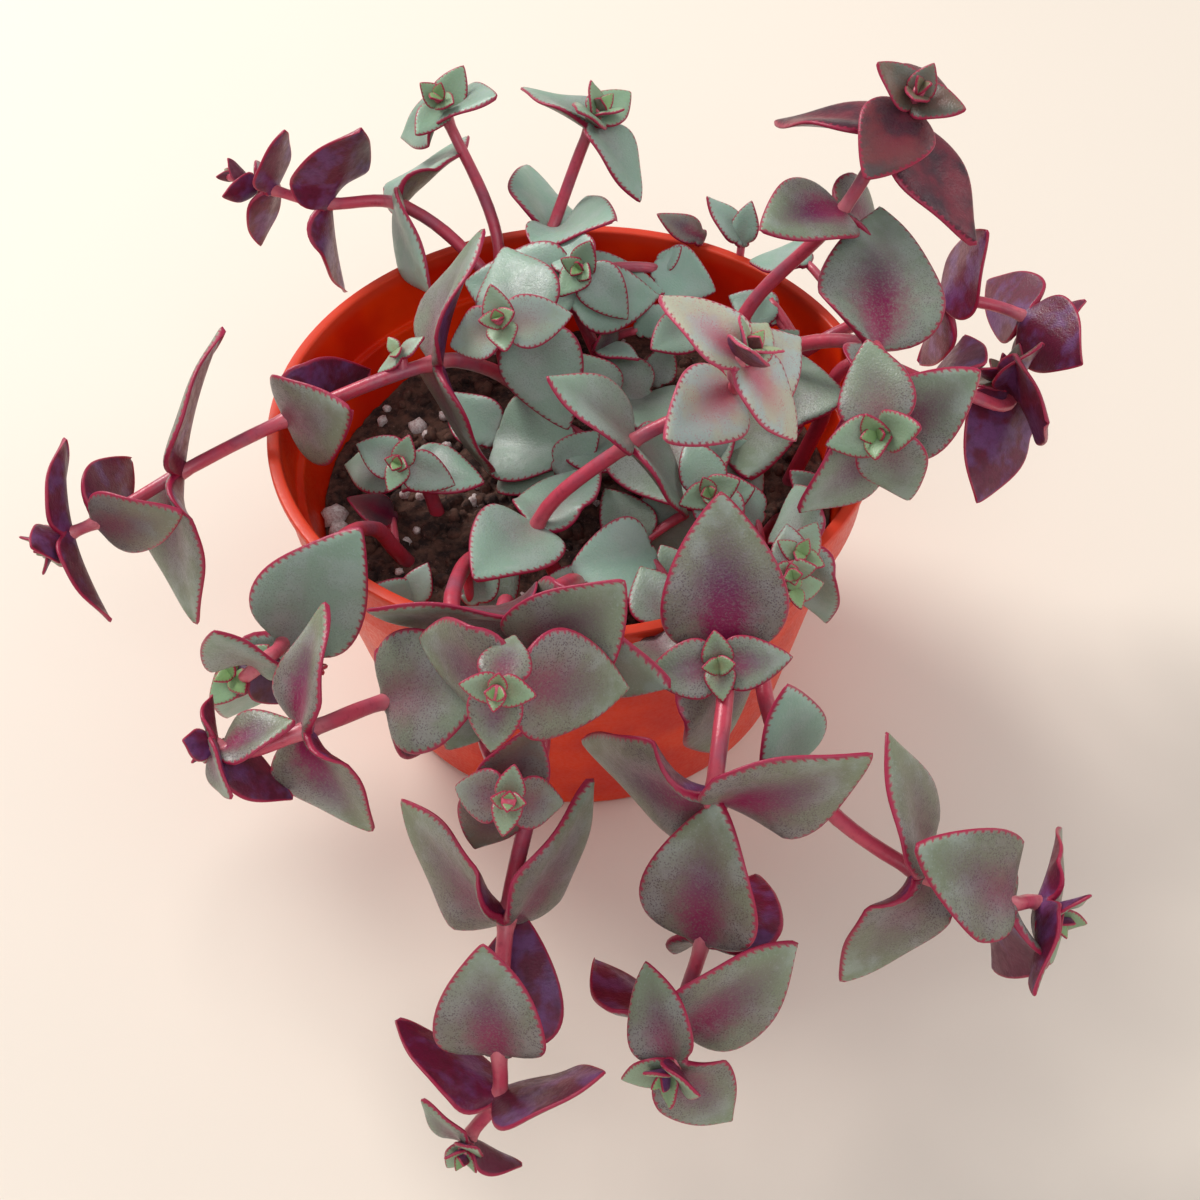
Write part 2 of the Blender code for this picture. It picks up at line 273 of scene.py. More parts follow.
green = blendOf(tree, tone, leafPaint["teal"], leafPaint["olive"])
green = blendOf(tree, fade(tree, patches, 0.42, 0.66, 0, 0.4), green, leafPaint["ashen"])
green = blendOf(tree, fade(tree, speck, 0.55, 0.75, 0, 0.3), green, leafPaint["ashen"])
density = calc(tree, "MULTIPLY", fade(tree, along, 1.0, 0.25), fade(tree, patches, 0.25, 0.6, 0.45, 1))
density = calc(tree, "MULTIPLY", density, calc(tree, "ADD", tone, calc(tree, "MULTIPLY", blush, 0.25)), clamp=True)
skin = blendOf(tree, calc(tree, "MULTIPLY", density, 0.5), green, leafPaint["dusk"])
dotMask = calc(tree, "MULTIPLY", fade(tree, dots, 0.5, 0.25), fade(tree, finer, 0.32, 0.55))
skin = blendOf(tree, calc(tree, "MULTIPLY", calc(tree, "MULTIPLY", dotMask, density), 0.7), skin, leafPaint["fleck"])

ribWander = calc(tree, "ADD", across, calc(tree, "MULTIPLY", calc(tree, "SUBTRACT", finer, 0.5), 0.5))
ribMask = calc(tree, "MULTIPLY", fade(tree, ribWander, 0.7, 0.05), fade(tree, along, 1.0, 0.2))
ribMask = calc(tree, "MULTIPLY", ribMask, fade(tree, speck, 0.25, 0.6, 0.7, 1.3))
ribMask = calc(tree, "MULTIPLY", ribMask, blush, clamp=True)
skin = blendOf(tree, ribMask, skin, blendOf(tree, fade(tree, along, 0.15, 0.6), leafPaint["blush"], leafPaint["rib"]))

wineSkin = blendOf(tree, fade(tree, patches, 0.35, 0.65), leafPaint["wine"], leafPaint["wineDark"])
skin = blendOf(tree, wine, skin, wineSkin)
creamSkin = blendOf(tree, calc(tree, "MULTIPLY", fade(tree, dots, 0.5, 0.28), fade(tree, finer, 0.4, 0.7, 0, 0.5)),
                    blendOf(tree, fade(tree, patches, 0.4, 0.6), leafPaint["cream"], leafPaint["ashen"]), leafPaint["pink"])
creamSkin = blendOf(tree, calc(tree, "MULTIPLY", fade(tree, ribWander, 0.75, 0.0), fade(tree, along, 0.8, 0.15, 0, 0.85)),
                    creamSkin, leafPaint["pink"])
skin = blendOf(tree, cream, skin, creamSkin)
skin = blendOf(tree, youth, skin, leafPaint["fresh"])

rimStep = calc(tree, "ADD", rimRun, calc(tree, "MULTIPLY", finer, 0.9))
beads = calc(tree, "SINE", calc(tree, "MULTIPLY", rimStep, 2 * math.pi / 1.05))
beadMask = calc(tree, "MULTIPLY", fade(tree, beads, 0.1, 0.8),
                fade(tree, rimGap, 0.78, 0.45))
skin = blendOf(tree, calc(tree, "MULTIPLY", beadMask, 0.85), skin, leafPaint["rim"])

underSkin = blendOf(tree, fade(tree, patches, 0.45, 0.62), leafPaint["underRed"], leafPaint["underMauve"])
underSkin = blendOf(tree, under, leafPaint["underGreen"], underSkin)
underSkin = blendOf(tree, fade(tree, finer, 0.4, 0.75, 0, 0.45), underSkin, leafPaint["wineDark"])
skin = blendOf(tree, fade(tree, upper, 0.02, -0.12), skin, underSkin)
rimMask = fade(tree, calc(tree, "ADD", rimGap, calc(tree, "MULTIPLY", calc(tree, "SUBTRACT", finer, 0.5), 0.4)),
               0.5, 0.12)
skin = blendOf(tree, rimMask, skin, blendOf(tree, cream, leafPaint["rim"], leafPaint["pink"]))
tree.links.new(skin, shader.inputs["Base Color"])
tree.links.new(fade(tree, finer, 0.3, 0.7, leafPaint["roughness"] - 0.05, leafPaint["roughness"] + 0.1),
               shader.inputs["Roughness"])
shader.inputs["Specular IOR Level"].default_value = 0.42
shader.inputs["Subsurface Weight"].default_value = 0.12
shader.inputs["Subsurface Radius"].default_value = (1.0, 0.8, 0.4)
shader.inputs["Subsurface Scale"].default_value = 0.0015
relief(tree, shader, calc(tree, "ADD", speck, calc(tree, "MULTIPLY", finer, 0.7)), 0.09, 0.7)

stemPaint = {
    "old": shade(184, 40, 60), "young": shade(206, 84, 106), "dusk": shade(156, 84, 104),
    "joint": shade(214, 124, 130), "roughness": 0.34,
}
stemFinish, tree, shader = newFinish("stem")
rise, joint = reading(tree, "rise"), reading(tree, "joint")
patches, finer = grain(tree, 6.0, 3), grain(tree, 0.9, 4, 0.6)
skin = blendOf(tree, rise, stemPaint["old"], stemPaint["young"])
skin = blendOf(tree, fade(tree, patches, 0.45, 0.7, 0, 0.75), skin, stemPaint["dusk"])
skin = blendOf(tree, calc(tree, "MULTIPLY", joint, 0.6), skin, stemPaint["joint"])
skin = blendOf(tree, fade(tree, finer, 0.5, 0.75, 0, 0.4), skin, shade(140, 28, 50))
tree.links.new(skin, shader.inputs["Base Color"])
shader.inputs["Roughness"].default_value = stemPaint["roughness"]
shader.inputs["Subsurface Weight"].default_value = 0.15
shader.inputs["Subsurface Radius"].default_value = (1.0, 0.35, 0.3)
shader.inputs["Subsurface Scale"].default_value = 0.0012
relief(tree, shader, finer, 0.12, 0.6)

# painted light and shade: orange is the plastic's tone where light shines through it, red its plainer shaded tone
potPaint = {
    "orange": (0.80, 0.042, 0.001, 1), "red": (0.62, 0.016, 0.001, 1), "lip": (0.66, 0.05, 0.018, 1),
    "roughness": 0.38,
}
potFinish, tree, shader = newFinish("pot plastic")
clouds, scuff = grain(tree, 14.0, 2), grain(tree, 0.6, 5, 0.7)
height = tree.nodes.new("ShaderNodeSeparateXYZ")
tree.links.new(objectPlace(tree), height.inputs[0])
# the painted lit orange and shaded red are laid over the wall in random clouds
skin = blendOf(tree, fade(tree, clouds, 0.35, 0.65), potPaint["orange"], potPaint["red"])
# painted sheen: the top band of the pot, from about 51.5 mm up, is painted a paler pinkish red where light catches the
# rim
skin = blendOf(tree, fade(tree, height.outputs["Z"], 0.0515, 0.0535), skin, potPaint["lip"])
skin = blendOf(tree, fade(tree, scuff, 0.62, 0.8, 0, 0.25), skin, shade(226, 120, 86))
tree.links.new(skin, shader.inputs["Base Color"])
tree.links.new(fade(tree, scuff, 0.35, 0.7, potPaint["roughness"] - 0.06, potPaint["roughness"] + 0.14),
               shader.inputs["Roughness"])
shader.inputs["Specular IOR Level"].default_value = 0.28
shader.inputs["Subsurface Weight"].default_value = 0.2
shader.inputs["Subsurface Radius"].default_value = (1.0, 0.12, 0.03)
shader.inputs["Subsurface Scale"].default_value = 0.004
relief(tree, shader, scuff, 0.05, 0.35)

soilPaint = {"dark": shade(46, 30, 27), "brown": shade(112, 78, 64), "dust": shade(162, 126, 114)}
soilFinish, tree, shader = newFinish("soil")
clods, crumbs = grain(tree, 2.6, 4, 0.65), grain(tree, 0.5, 5, 0.75)
skin = blendOf(tree, fade(tree, clods, 0.35, 0.65), soilPaint["dark"], soilPaint["brown"])
skin = blendOf(tree, fade(tree, crumbs, 0.56, 0.72, 0, 0.7), skin, soilPaint["dust"])
tree.links.new(skin, shader.inputs["Base Color"])
shader.inputs["Roughness"].default_value = 0.92
relief(tree, shader, crumbs, 0.4, 0.9)

perliteFinish, tree, shader = newFinish("perlite")
pores = grain(tree, 0.4, 4, 0.7)
skin = blendOf(tree, fade(tree, pores, 0.4, 0.65), shade(236, 226, 222), shade(196, 168, 164))
tree.links.new(skin, shader.inputs["Base Color"])
shader.inputs["Roughness"].default_value = 0.8
relief(tree, shader, pores, 0.25, 0.8)


# pot
print("pot")
potSizes = {
    "height": 54.0, "baseRadius": 33.5, "lipRadius": 45.0, "lipDepth": 1.4, "lipWidth": 1.8, "collarDepth": 10.5,
    "collarRadius": 43.9, "collarDraft": 0.5, "shoulderRadius": 42.0, "wall": 1.3, "floor": 1.5,
    "drains": 5, "drainRadius": 2.4, "drainCircle": 21.0, "steps": 144,
}


def rounded(outline, radius):
    # each inner corner of the outline becomes a short arc of four points
    found = [outline[0]]
    for before, corner, after in zip(outline, outline[1:], outline[2:]):
        corner = Vector(corner)
        back, ahead = Vector(before) - corner, Vector(after) - corner
        reach = min(radius, back.length * 0.45, ahead.length * 0.45)
        start, end = corner + back.normalized() * reach, corner + ahead.normalized() * reach
        for t in (0, 0.33, 0.67, 1):
            found.append(tuple(start * (1 - t) ** 2 + corner * 2 * t * (1 - t) + end * t**2))
    return found + [outline[-1]]


def turnOutline(name, outline, steps):
    # a ring is drawn up and out point by point, as on a wheel, and its two ends are closed
    startFresh()
    radius, height = outline[0]
    bpy.ops.mesh.primitive_circle_add(vertices=steps, radius=radius * mm, location=(0, 0, height * mm))
    piece = bpy.context.object
    piece.name = name
    bpy.ops.object.mode_set(mode="EDIT")
    bpy.ops.mesh.select_mode(type="EDGE")
    bpy.ops.mesh.select_all(action="SELECT")
    for nextRadius, nextHeight in outline[1:]:
        bpy.ops.mesh.extrude_region_move(TRANSFORM_OT_translate={"value": (0, 0, (nextHeight - height) * mm)})
        swell = nextRadius / radius
        bpy.ops.transform.resize(value=(swell, swell, 1), center_override=(0, 0, nextHeight * mm))
        radius, height = nextRadius, nextHeight
    bpy.ops.mesh.select_all(action="SELECT")
    bpy.ops.mesh.fill_holes(sides=0)
    bpy.ops.mesh.normals_make_consistent(inside=False)
    bpy.ops.object.mode_set(mode="OBJECT")
    settle(piece)
    return piece


p = potSizes
shoulder = p["height"] - p["collarDepth"]
collarFoot = p["collarRadius"] - p["collarDraft"]


def innerRadius(height):
    return p["baseRadius"] + (p["shoulderRadius"] - p["baseRadius"]) * height / shoulder - p["wall"]


potOutline = rounded([
    (0.6, p["floor"]),
    (innerRadius(p["floor"]), p["floor"]),
    (innerRadius(shoulder + p["wall"]), shoulder + p["wall"]),
    (collarFoot - p["wall"], shoulder + p["wall"]),
    (p["lipRadius"] - p["lipWidth"], p["height"]),
    (p["lipRadius"], p["height"]),
    (p["lipRadius"], p["height"] - p["lipDepth"]),
    (p["collarRadius"], p["height"] - p["lipDepth"]),
    (collarFoot, shoulder),
    (p["shoulderRadius"], shoulder),
    (p["baseRadius"] + 0.2, 1.2),
    (p["baseRadius"] - 0.6, 0),
    (0.6, 0),
], 0.45)
pot = turnOutline("nursery_pot", potOutline, p["steps"])
drill = []
for i in range(p["drains"]):
    angle = 2 * math.pi * (i + 0.5) / p["drains"]
    startFresh()
    bpy.ops.mesh.primitive_cylinder_add(
        vertices=32, radius=p["drainRadius"] * mm, depth=6 * mm,
        location=(p["drainCircle"] * math.cos(angle) * mm, p["drainCircle"] * math.sin(angle) * mm, 0.5 * mm))
    drill.append(bpy.context.object)
drill = joinInto(drill, "drill")
cut = pot.modifiers.new("drain holes", "BOOLEAN")
cut.operation, cut.solver, cut.object = "DIFFERENCE", "EXACT", drill
applyAll(pot)
discard(drill)
pick(pot)
bpy.ops.object.shade_smooth_by_angle(angle=math.radians(32))
dress(pot, potFinish)
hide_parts("pot")
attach(pot, "root")


# soil
print("soil and perlite")
soilSizes = {"top": 36.5, "mound": 1.6, "grid": 170, "clods": 1.3, "crumbs": 560, "grains": 110, "seed": 11}
soilEdge = innerRadius(soilSizes["top"]) - 0.3


def soilHeight(x, y):
    # the mound and its clods, in millimetres
    share = min(1.0, math.hypot(x, y) / soilEdge)
    lump = noise.fractal(Vector((x * 0.16, y * 0.16, 3.1)), 0.9, 2.1, 5)
    grit = noise.fractal(Vector((x * 0.7, y * 0.7, 8.2)), 0.8, 2.0, 3)
    calm = 1 - 0.5 * share**6
    return soilSizes["top"] + soilSizes["mound"] * (1 - share**2) + calm * (soilSizes["clods"] * lump + 0.55 * grit)


startFresh()
bpy.ops.mesh.primitive_grid_add(x_subdivisions=soilSizes["grid"], y_subdivisions=soilSizes["grid"], size=2)
soil = bpy.context.object
square = placesOf(soil)
disc = square.copy()
disc[:, 0] = square[:, 0] * np.sqrt(1 - square[:, 1] ** 2 / 2) * soilEdge
disc[:, 1] = square[:, 1] * np.sqrt(1 - square[:, 0] ** 2 / 2) * soilEdge
disc[:, 2] = [soilHeight(x, y) for x, y in disc[:, :2]]
movePoints(soil, disc * mm)
bpy.ops.object.mode_set(mode="EDIT")
bpy.ops.mesh.select_all(action="SELECT")
bpy.ops.mesh.region_to_loop()
lowest = 1.8
for drop, radius in ((12, innerRadius(24.5) - 0.3), (lowest, innerRadius(lowest) - 0.3)):
    bpy.ops.mesh.extrude_region_move(TRANSFORM_OT_translate={"value": (0, 0, -drop * mm)})
bpy.ops.mesh.edge_face_add()
bpy.ops.mesh.select_all(action="SELECT")
bpy.ops.mesh.normals_make_consistent(inside=False)
bpy.ops.object.mode_set(mode="OBJECT")
packed = placesOf(soil)
top = disc.shape[0]
sides = packed[top:]
loops = np.split(sides, 2)
for loop, z in zip(loops, (24.0, lowest)):
    around = np.hypot(loop[:, 0], loop[:, 1])
    loop[:, :2] *= ((innerRadius(z) - 0.3) * mm / around)[:, None]
    loop[:, 2] = z * mm
movePoints(soil, packed)
pick(soil)
bpy.ops.object.shade_smooth()

chance = random.Random(soilSizes["seed"])
startFresh()
bpy.ops.mesh.primitive_ico_sphere_add(subdivisions=2, radius=1)
crumbMaster = bpy.context.object
rough = placesOf(crumbMaster)
rough *= np.array([1 + 0.35 * noise.noise(Vector(q) * 1.7) for q in rough])[:, None]
movePoints(crumbMaster, rough)


def scatter(count, small, large, spots=()):
    bits = []
    for k in range(count):
        if k < len(spots):
            x, y, size = spots[k]
        else:
            turn, reach = chance.uniform(0, 2 * math.pi), soilEdge * math.sqrt(chance.uniform(0, 0.93))
            x, y, size = reach * math.cos(turn), reach * math.sin(turn), chance.uniform(small, large) ** 1.0
        bit = copyOf(crumbMaster)
        bit.location = (x * mm, y * mm, (soilHeight(x, y) + size * 0.15) * mm)
        bit.rotation_euler = [chance.uniform(0, 6.28) for _ in range(3)]
        bit.scale = [size * chance.uniform(0.65, 1.15) * mm for _ in range(3)]
        bits.append(bit)
    return bits


clodPieces = scatter(soilSizes["crumbs"], 0.4, 1.5)
for bit in clodPieces:
    settle(bit)
soil = joinInto([soil, *clodPieces], "potting_soil")
dress(soil, soilFinish)
grains = scatter(soilSizes["grains"], 0.4, 1.15,
                 [(-37.2, -4.5, 2.0), (-36.4, -7.4, 1.6), (-25.5, 15.5, 1.4), (-21.0, 17.5, 1.2), (-28.5, 9.5, 1.1)])
for bit in grains:
    settle(bit)
perlite = joinInto(grains, "perlite_grains")
for piece in (soil, perlite):
    pick(piece)
    bpy.ops.object.shade_smooth()
dress(perlite, perliteFinish)
discard(crumbMaster)
for piece in (soil, perlite):
    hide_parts("soil")
    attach(piece, "root")


# the plant: each shoot is its route in millimetres from the root to the tip, and the pairs of leaves at its last
# joints, as leaf length, turn about the stem, and how far each of the two leaves opens from the growing direction
print("plant")
shootRoutes = {
    "west": (
        [(-5, 9, 31), (-6, 10.5, 44.5), (-16.5, 3, 61), (-19.5, 1.5, 62), (-40.5, -5.5, 58.5),
         (-57.5, -9, 51.5), (-68, -16.5, 50), (-72.5, -17.5, 48.5), (-75, -19, 48)],
        [(20.5, 110, 114, 101), (17.5, 33, 120, 129), (22.5, 128, 131, 61), (15.5, 16, 133, 111),
         (14, 140, 109, 82)],
    ),
    "northwest": (
        [(-5, 16, 31), (-8, 24, 48), (-12, 29, 54.5), (-27, 39.5, 63), (-38.5, 41, 62.5), (-48.5, 49, 60),
         (-56, 52, 61)],
        [(19.5, 175, 97, 124), (18.5, 86, 120, 77), (12, 99, 103, 65)],
    ),
    "north_northwest": (
        [(-10, 23, 31), (-12, 28, 46), (-11.5, 36, 58.5), (-19, 49.5, 72.5), (-19.5, 45.5, 78.5)],
        [(12.5, 125, 68, 106)],
    ),
    "north": (
        [(0, 24, 31), (-7, 26.5, 54), (-3, 34, 60), (4, 38.5, 76.5), (5.5, 38.5, 79.5)],
        [(17.5, 318, 55, 63), (14, 164, 106, 92)],
    ),
    "northeast": (
        [(19, 2, 31), (21, 4, 48), (25.5, 10.5, 61), (38.5, 10.5, 79), (45, 13.5, 90), (46.5, 11, 95),
         (47, 9, 99)],
        [(16, 113, 100, 97), (19.5, 35, 122, 95), (13, 137, 85, 110)],
    ),
    "east": (
        [(23, 8, 31), (26, 6, 55), (41.5, -8, 70), (40, -26.5, 71.5), (38.5, -34, 78.5),
         (37.5, -35.5, 79.5)],
        [(23, 57, 124, 69), (15.5, 31, 69, 55), (12, 89, 101, 121)],
    ),
    "east_northeast": (
        [(27, 18, 31), (33, 12, 51), (57, 17.5, 57.5), (69.5, 16, 55), (72.5, 15.5, 52)],
        [(16, 103, 69, 90), (15.5, 160, 64, 92)],
    ),
    "far_east": (
        [(31, 0, 31), (40.5, 1, 59.5), (53, -4.5, 59.5), (66.5, 4.5, 50), (65.5, 6, 51.5)],
        [(14, 4, 58, 101), (18.5, 128, 137, 150)],
    ),
    "centre_right": (
        [(-7, -20.5, 31), (-3, -25, 44), (-5.5, -25, 54), (7.5, -23.5, 68), (20.5, -24.5, 77.5),
         (20.5, -31, 87.5), (22, -30.5, 89.5)],
        [(16, 345, 76, 78), (15.5, 100, 85, 95), (14, 159, 81, 78), (12.5, 80, 76, 110)],
    ),
    "centre_left": (
        [(-9, 3, 31), (-4, 5.5, 48.5), (-6, 5, 65), (-9, -4, 72.5), (-9.5, -7, 76.5)],
        [(16, 108, 95, 116), (10, 13, 106, 110)],
    ),
    "front_left": (
        [(-13, -20, 31), (-14, -25.5, 49), (-16, -40.5, 58.5), (-16.5, -58, 59.5), (-22.5, -60.5, 62),
         (-31, -68, 66.5), (-40.5, -70, 65.5), (-41.5, -69.5, 66), (-42, -69.5, 66)],
        [(18, 41, 104, 139), (15, 121, 106, 103), (10, 84, 136, 140), (8, 154, 62, 117)],
    ),
    "left_middle": (
        [(-24, -12, 31), (-28.5, -19, 49), (-33.5, -36, 60), (-37.5, -45.5, 56.5), (-38.5, -54.5, 62.5),
         (-43.5, -49, 53)],
        [(19.5, 60, 101, 84), (12.5, 92, 81, 110)],
    ),
    "centre_front": (
        [(-1, -28, 31), (0, -32, 48), (-1, -41.5, 61), (-5.5, -50.5, 66), (-4.5, -59, 68.5),
         (-7, -70, 76.5), (-8, -73, 79.5), (-8, -78, 84.5)],
        [(21, 168, 54, 58), (17.5, 51, 59, 85), (16, 351, 129, 117), (7.5, 85, 131, 90)],
    ),
    "front_centre": (
        [(2, -34, 31), (5, -36, 50), (-2, -44.5, 58.5), (-5, -67, 56.5), (-9.5, -79.5, 43),
         (-10.5, -94, 38), (-11, -97, 32), (-15, -99.5, 26), (-15.5, -101.5, 26)],
        [(20, 183, 124, 149), (17, 92, 141, 143), (15.5, 192, 93, 128), (8, 149, 101, 81)],
    ),
    "front_right": (
        [(13, -30, 31), (13.5, -36, 52), (18, -54, 61), (15.5, -73, 58), (14, -82.5, 42),
         (10.5, -90.5, 36), (10, -96.5, 38.5), (9, -98, 38.5)],
        [(20.5, 90, 106, 94), (21.5, 216, 100, 100), (19, 111, 158, 98), (18, 35, 115, 117),
         (12, 125, 118, 90)],
    ),
    "right_front": (
        [(24, -20, 31), (26, -26, 48), (23, -42.5, 59), (25, -67, 56), (40.5, -75.5, 44),
         (50.5, -80.5, 44.5), (55.5, -78.5, 40.5), (57, -80.5, 40.5)],
        [(13, 90, 115, 50), (18.5, 47, 125, 87), (17, 67, 150, 63), (12.5, 341, 81, 78)],
    ),
    "front_bud": (
        [(-9, -32.5, 31), (-9.5, -35, 48), (-9.5, -44, 58.5), (-12, -58, 54), (-9, -70.5, 58.5),
         (-8, -76.5, 63.5), (-7.5, -82, 71)],
        [(10.5, 68, 56, 98), (7.5, 168, 119, 112)],
    ),
    "right_middle": (
        [(26, -10, 31), (29.5, -15.5, 44.5), (30, -34.5, 59), (27.5, -41.5, 62.5), (27, -45.5, 65.5)],
        [(13, 283, 103, 148), (6, 100, 117, 110)],
    ),
    "north_short": (
        [(7, 14, 31), (4.5, 19.5, 45), (0, 24, 57.5), (2.5, 18.5, 65), (1.5, 16.5, 66.5)],
        [(15, 288, 76, 88), (10, 248, 125, 93)],
    ),
    "inner_left": (
        [(-20, -5, 31), (-22.5, -4, 42), (-25, -4, 46), (-24.5, -10, 53), (-25, -13, 56)],
        [(13.3, 190, 100, 80), (8, 180, 95, 95)],
    ),
    "inner_right": (
        [(12, -8, 31), (14.5, -11.5, 47.5), (17.5, -19.5, 51.5), (18.5, -24, 59), (18, -27, 62)],
        [(15.5, 208, 125, 104), (8.5, 277, 66, 95)],
    ),
}

# how each pair looks: tone 0 teal to 1 olive and speckled, blush along the midrib, wine for a red leaf, cream
# for a pale one, under 0 green to 1 maroon below
shootLooks = {
    "west": [(0.7, 0.35, 0, 0, 1), (0.9, 0.5, 0, 0, 1), (0.9, 0.5, 0, 0, 1), (0.9, 0.5, 0.2, 0, 1), (0.9, 0.5, 0.5, 0, 1)],
    "northwest": [(0.15, 0.1, 0, 0, 0.35), (0.5, 0.2, 0, 0, 1), (0.8, 0.3, 0.6, 0, 1)],
    "north_northwest": [(0.3, 0.05, 0, 0, 0.3)],
    "north": [(0.15, 0, 0, 0, 0.1), (0.3, 0.1, 0, 0, 0.3)],
    "northeast": [(0.8, 0.9, 0, 0, 0.9), (0.9, 0.4, 1, 0, 1), (0.9, 0.4, 0.9, 0, 1)],
    "east": [(0.6, 0.85, 0, 0, 1), (0.7, 0.6, 0, 0, 0.8), (0.7, 0.4, 0, 0, 0.8)],
    "east_northeast": [(0.9, 0.3, 0.85, 0, 1), (0.9, 0.3, 0.95, 0, 1)],
    "far_east": [(0.9, 0.3, 1, 0, 1), (0.9, 0.3, 1, 0, 1)],
    "centre_right": [(0.3, 0.2, 0, 0, 0.3), (0.4, 0.2, 0, 0, 0.4), (0.4, 0.5, 0, 0.85, 0.8), (0.4, 0.6, 0, 1, 0.8)],
    "centre_left": [(0.3, 0.1, 0, 0, 0.3), (0.35, 0.1, 0, 0.25, 0.5)],
    "front_left": [(0.8, 0.35, 0, 0, 1), (1, 0.9, 0, 0, 1), (0.9, 0.7, 0, 0, 1), (0.9, 0.5, 0, 0, 1)],
    "left_middle": [(0.35, 0.1, 0, 0, 0.5), (0.6, 0.2, 0, 0, 0.8)],
    "centre_front": [(0.8, 0.5, 0.1, 0, 0.8), (0.8, 0.6, 0, 0, 0.8), (0.9, 0.6, 0, 0, 1), (0.9, 0.6, 0, 0, 1)],
    "front_centre": [(1, 0.6, 0, 0, 1), (0.9, 0.7, 0, 0, 1), (0.9, 0.6, 0.2, 0, 1), (0.8, 0.5, 0, 0, 1)],
    "front_right": [(1, 0.9, 0, 0, 1), (1, 0.8, 0, 0, 1), (1, 0.8, 0, 0, 1), (0.9, 0.7, 0, 0, 1), (0.9, 0.5, 0, 0, 1)],
    "right_front": [(0.2, 0.05, 0, 0, 0.4), (1, 0.3, 0, 0, 1), (0.9, 0.5, 0, 0, 1), (0.9, 0.5, 0.2, 0, 1)],
    "front_bud": [(0.9, 0.5, 0.5, 0, 1), (0.9, 0.4, 0.2, 0, 1)],
    "right_middle": [(0.4, 0.1, 0, 0, 0.5), (0.5, 0.3, 0, 0.2, 0.6)],
    "north_short": [(0.15, 0, 0, 0, 0.1), (0.2, 0, 0, 0, 0.2)],
    "inner_left": [(0.3, 0.4, 0, 0, 0.9), (0.3, 0.2, 0, 0, 0.6)],
    "inner_right": [(0.3, 0.1, 0, 0, 0.3), (0.3, 0.1, 0, 0, 0.3)],
}

# how far a blade is rolled about its own midrib, in degrees, by the pair's place on the shoot
leafLeans = {
    "west": {0: (-11, 0), 1: (0, 40), 2: (0, -28)}, "northwest": {0: (45, 0), 1: (-40, -30)},
    "north_northwest": {0: (0, -36)}, "north": {0: (0, 55)}, "northeast": {0: (0, 28)}, "east": {0: (-23, -41), 1: (0, -30)},
    "far_east": {0: (26, 0), 1: (-45, -21)}, "left_middle": {0: (0, -45), 1: (45, -45)},
    "centre_front": {0: (-50, 18), 1: (0, -27), 2: (0, -26)}, "front_centre": {0: (35, -12), 2: (14, 0), 3: (21, 18)},
    "front_right": {0: (0, -45), 1: (43, -23), 2: (0, -29), 3: (0, -16), 4: (0, -33)},
    "right_front": {1: (-13, 52), 2: (-30, -22), 3: (-32, 17)}, "right_middle": {0: (35, -35)},
    "inner_left": {0: (0, -27)}, "front_left": {1: (13, -32), 2: (15, 0), 3: (-14, 0)}, "centre_right": {0: (-31, 0)},
}

stemSizes = {"root": 1.25, "tip": 0.8, "straightRoot": 0.6, "steps": 9, "joint": 0.3, "jointWidth": 1.0}
leafSizes = {
    "halfWidth": 0.395, "thickness": 1.6, "collar": 1.9, "fold": 0.36, "droop": 5.7, "bend": 14, "bendSpread": 9,
    "segments": 32, "rings": 30, "seed": 5,
}


def headings(route):
    found = []
    for i, point in enumerate(route):
        before = (point - route[i - 1]).normalized() if i else Vector()
        after = (route[i + 1] - point).normalized() if i + 1 < len(route) else Vector()
        found.append((before + after).normalized())
    return found


def smoothRoute(route, heads, steps):
    # a smooth curve through the route's points, each passed in its own direction
    places = []
    for i in range(len(route) - 1):
        chord = (route[i + 1] - route[i]).length
        for k in range(steps):
            t = k / steps
            places.append(route[i] * (2 * t**3 - 3 * t**2 + 1) + heads[i] * chord * (t**3 - 2 * t**2 + t)
                          + route[i + 1] * (3 * t**2 - 2 * t**3) + heads[i + 1] * chord * (t**3 - t**2))
    return places + [route[-1]]


def jointFrame(place, growing, turn, aside):
    level = (aside - growing * aside.dot(growing)).normalized()
    outward = Matrix.Rotation(math.radians(turn), 3, growing) @ level
    made = Matrix((outward, growing.cross(outward), growing)).transposed().to_4x4()
    made.translation = place * mm
    return made


stemLines = {}


def tube(name, places, radii):
    # a closed round tube along the points, with its own radius at each
    guide = bpy.data.curves.new(name, "CURVE")
    guide.dimensions = "3D"
    guide.bevel_depth = mm
    guide.bevel_resolution = 4
    guide.use_fill_caps = True
    spline = guide.splines.new("POLY")
    spline.points.add(len(places) - 1)
    for point, place, radius in zip(spline.points, places, radii):
        point.co, point.radius = (*(place * mm), 1), radius
    made = bpy.data.objects.new(name, guide)
    bpy.context.scene.collection.objects.link(made)
    pick(made)
    bpy.ops.object.convert(target="MESH")
    made = bpy.context.object
    bpy.ops.object.mode_set(mode="EDIT")
    bpy.ops.mesh.select_all(action="SELECT")
    bpy.ops.mesh.remove_doubles(threshold=0.00001)
    bpy.ops.mesh.normals_make_consistent(inside=False)
    bpy.ops.object.mode_set(mode="OBJECT")
    bpy.ops.object.shade_smooth()
    dress(made, stemFinish)
    return made


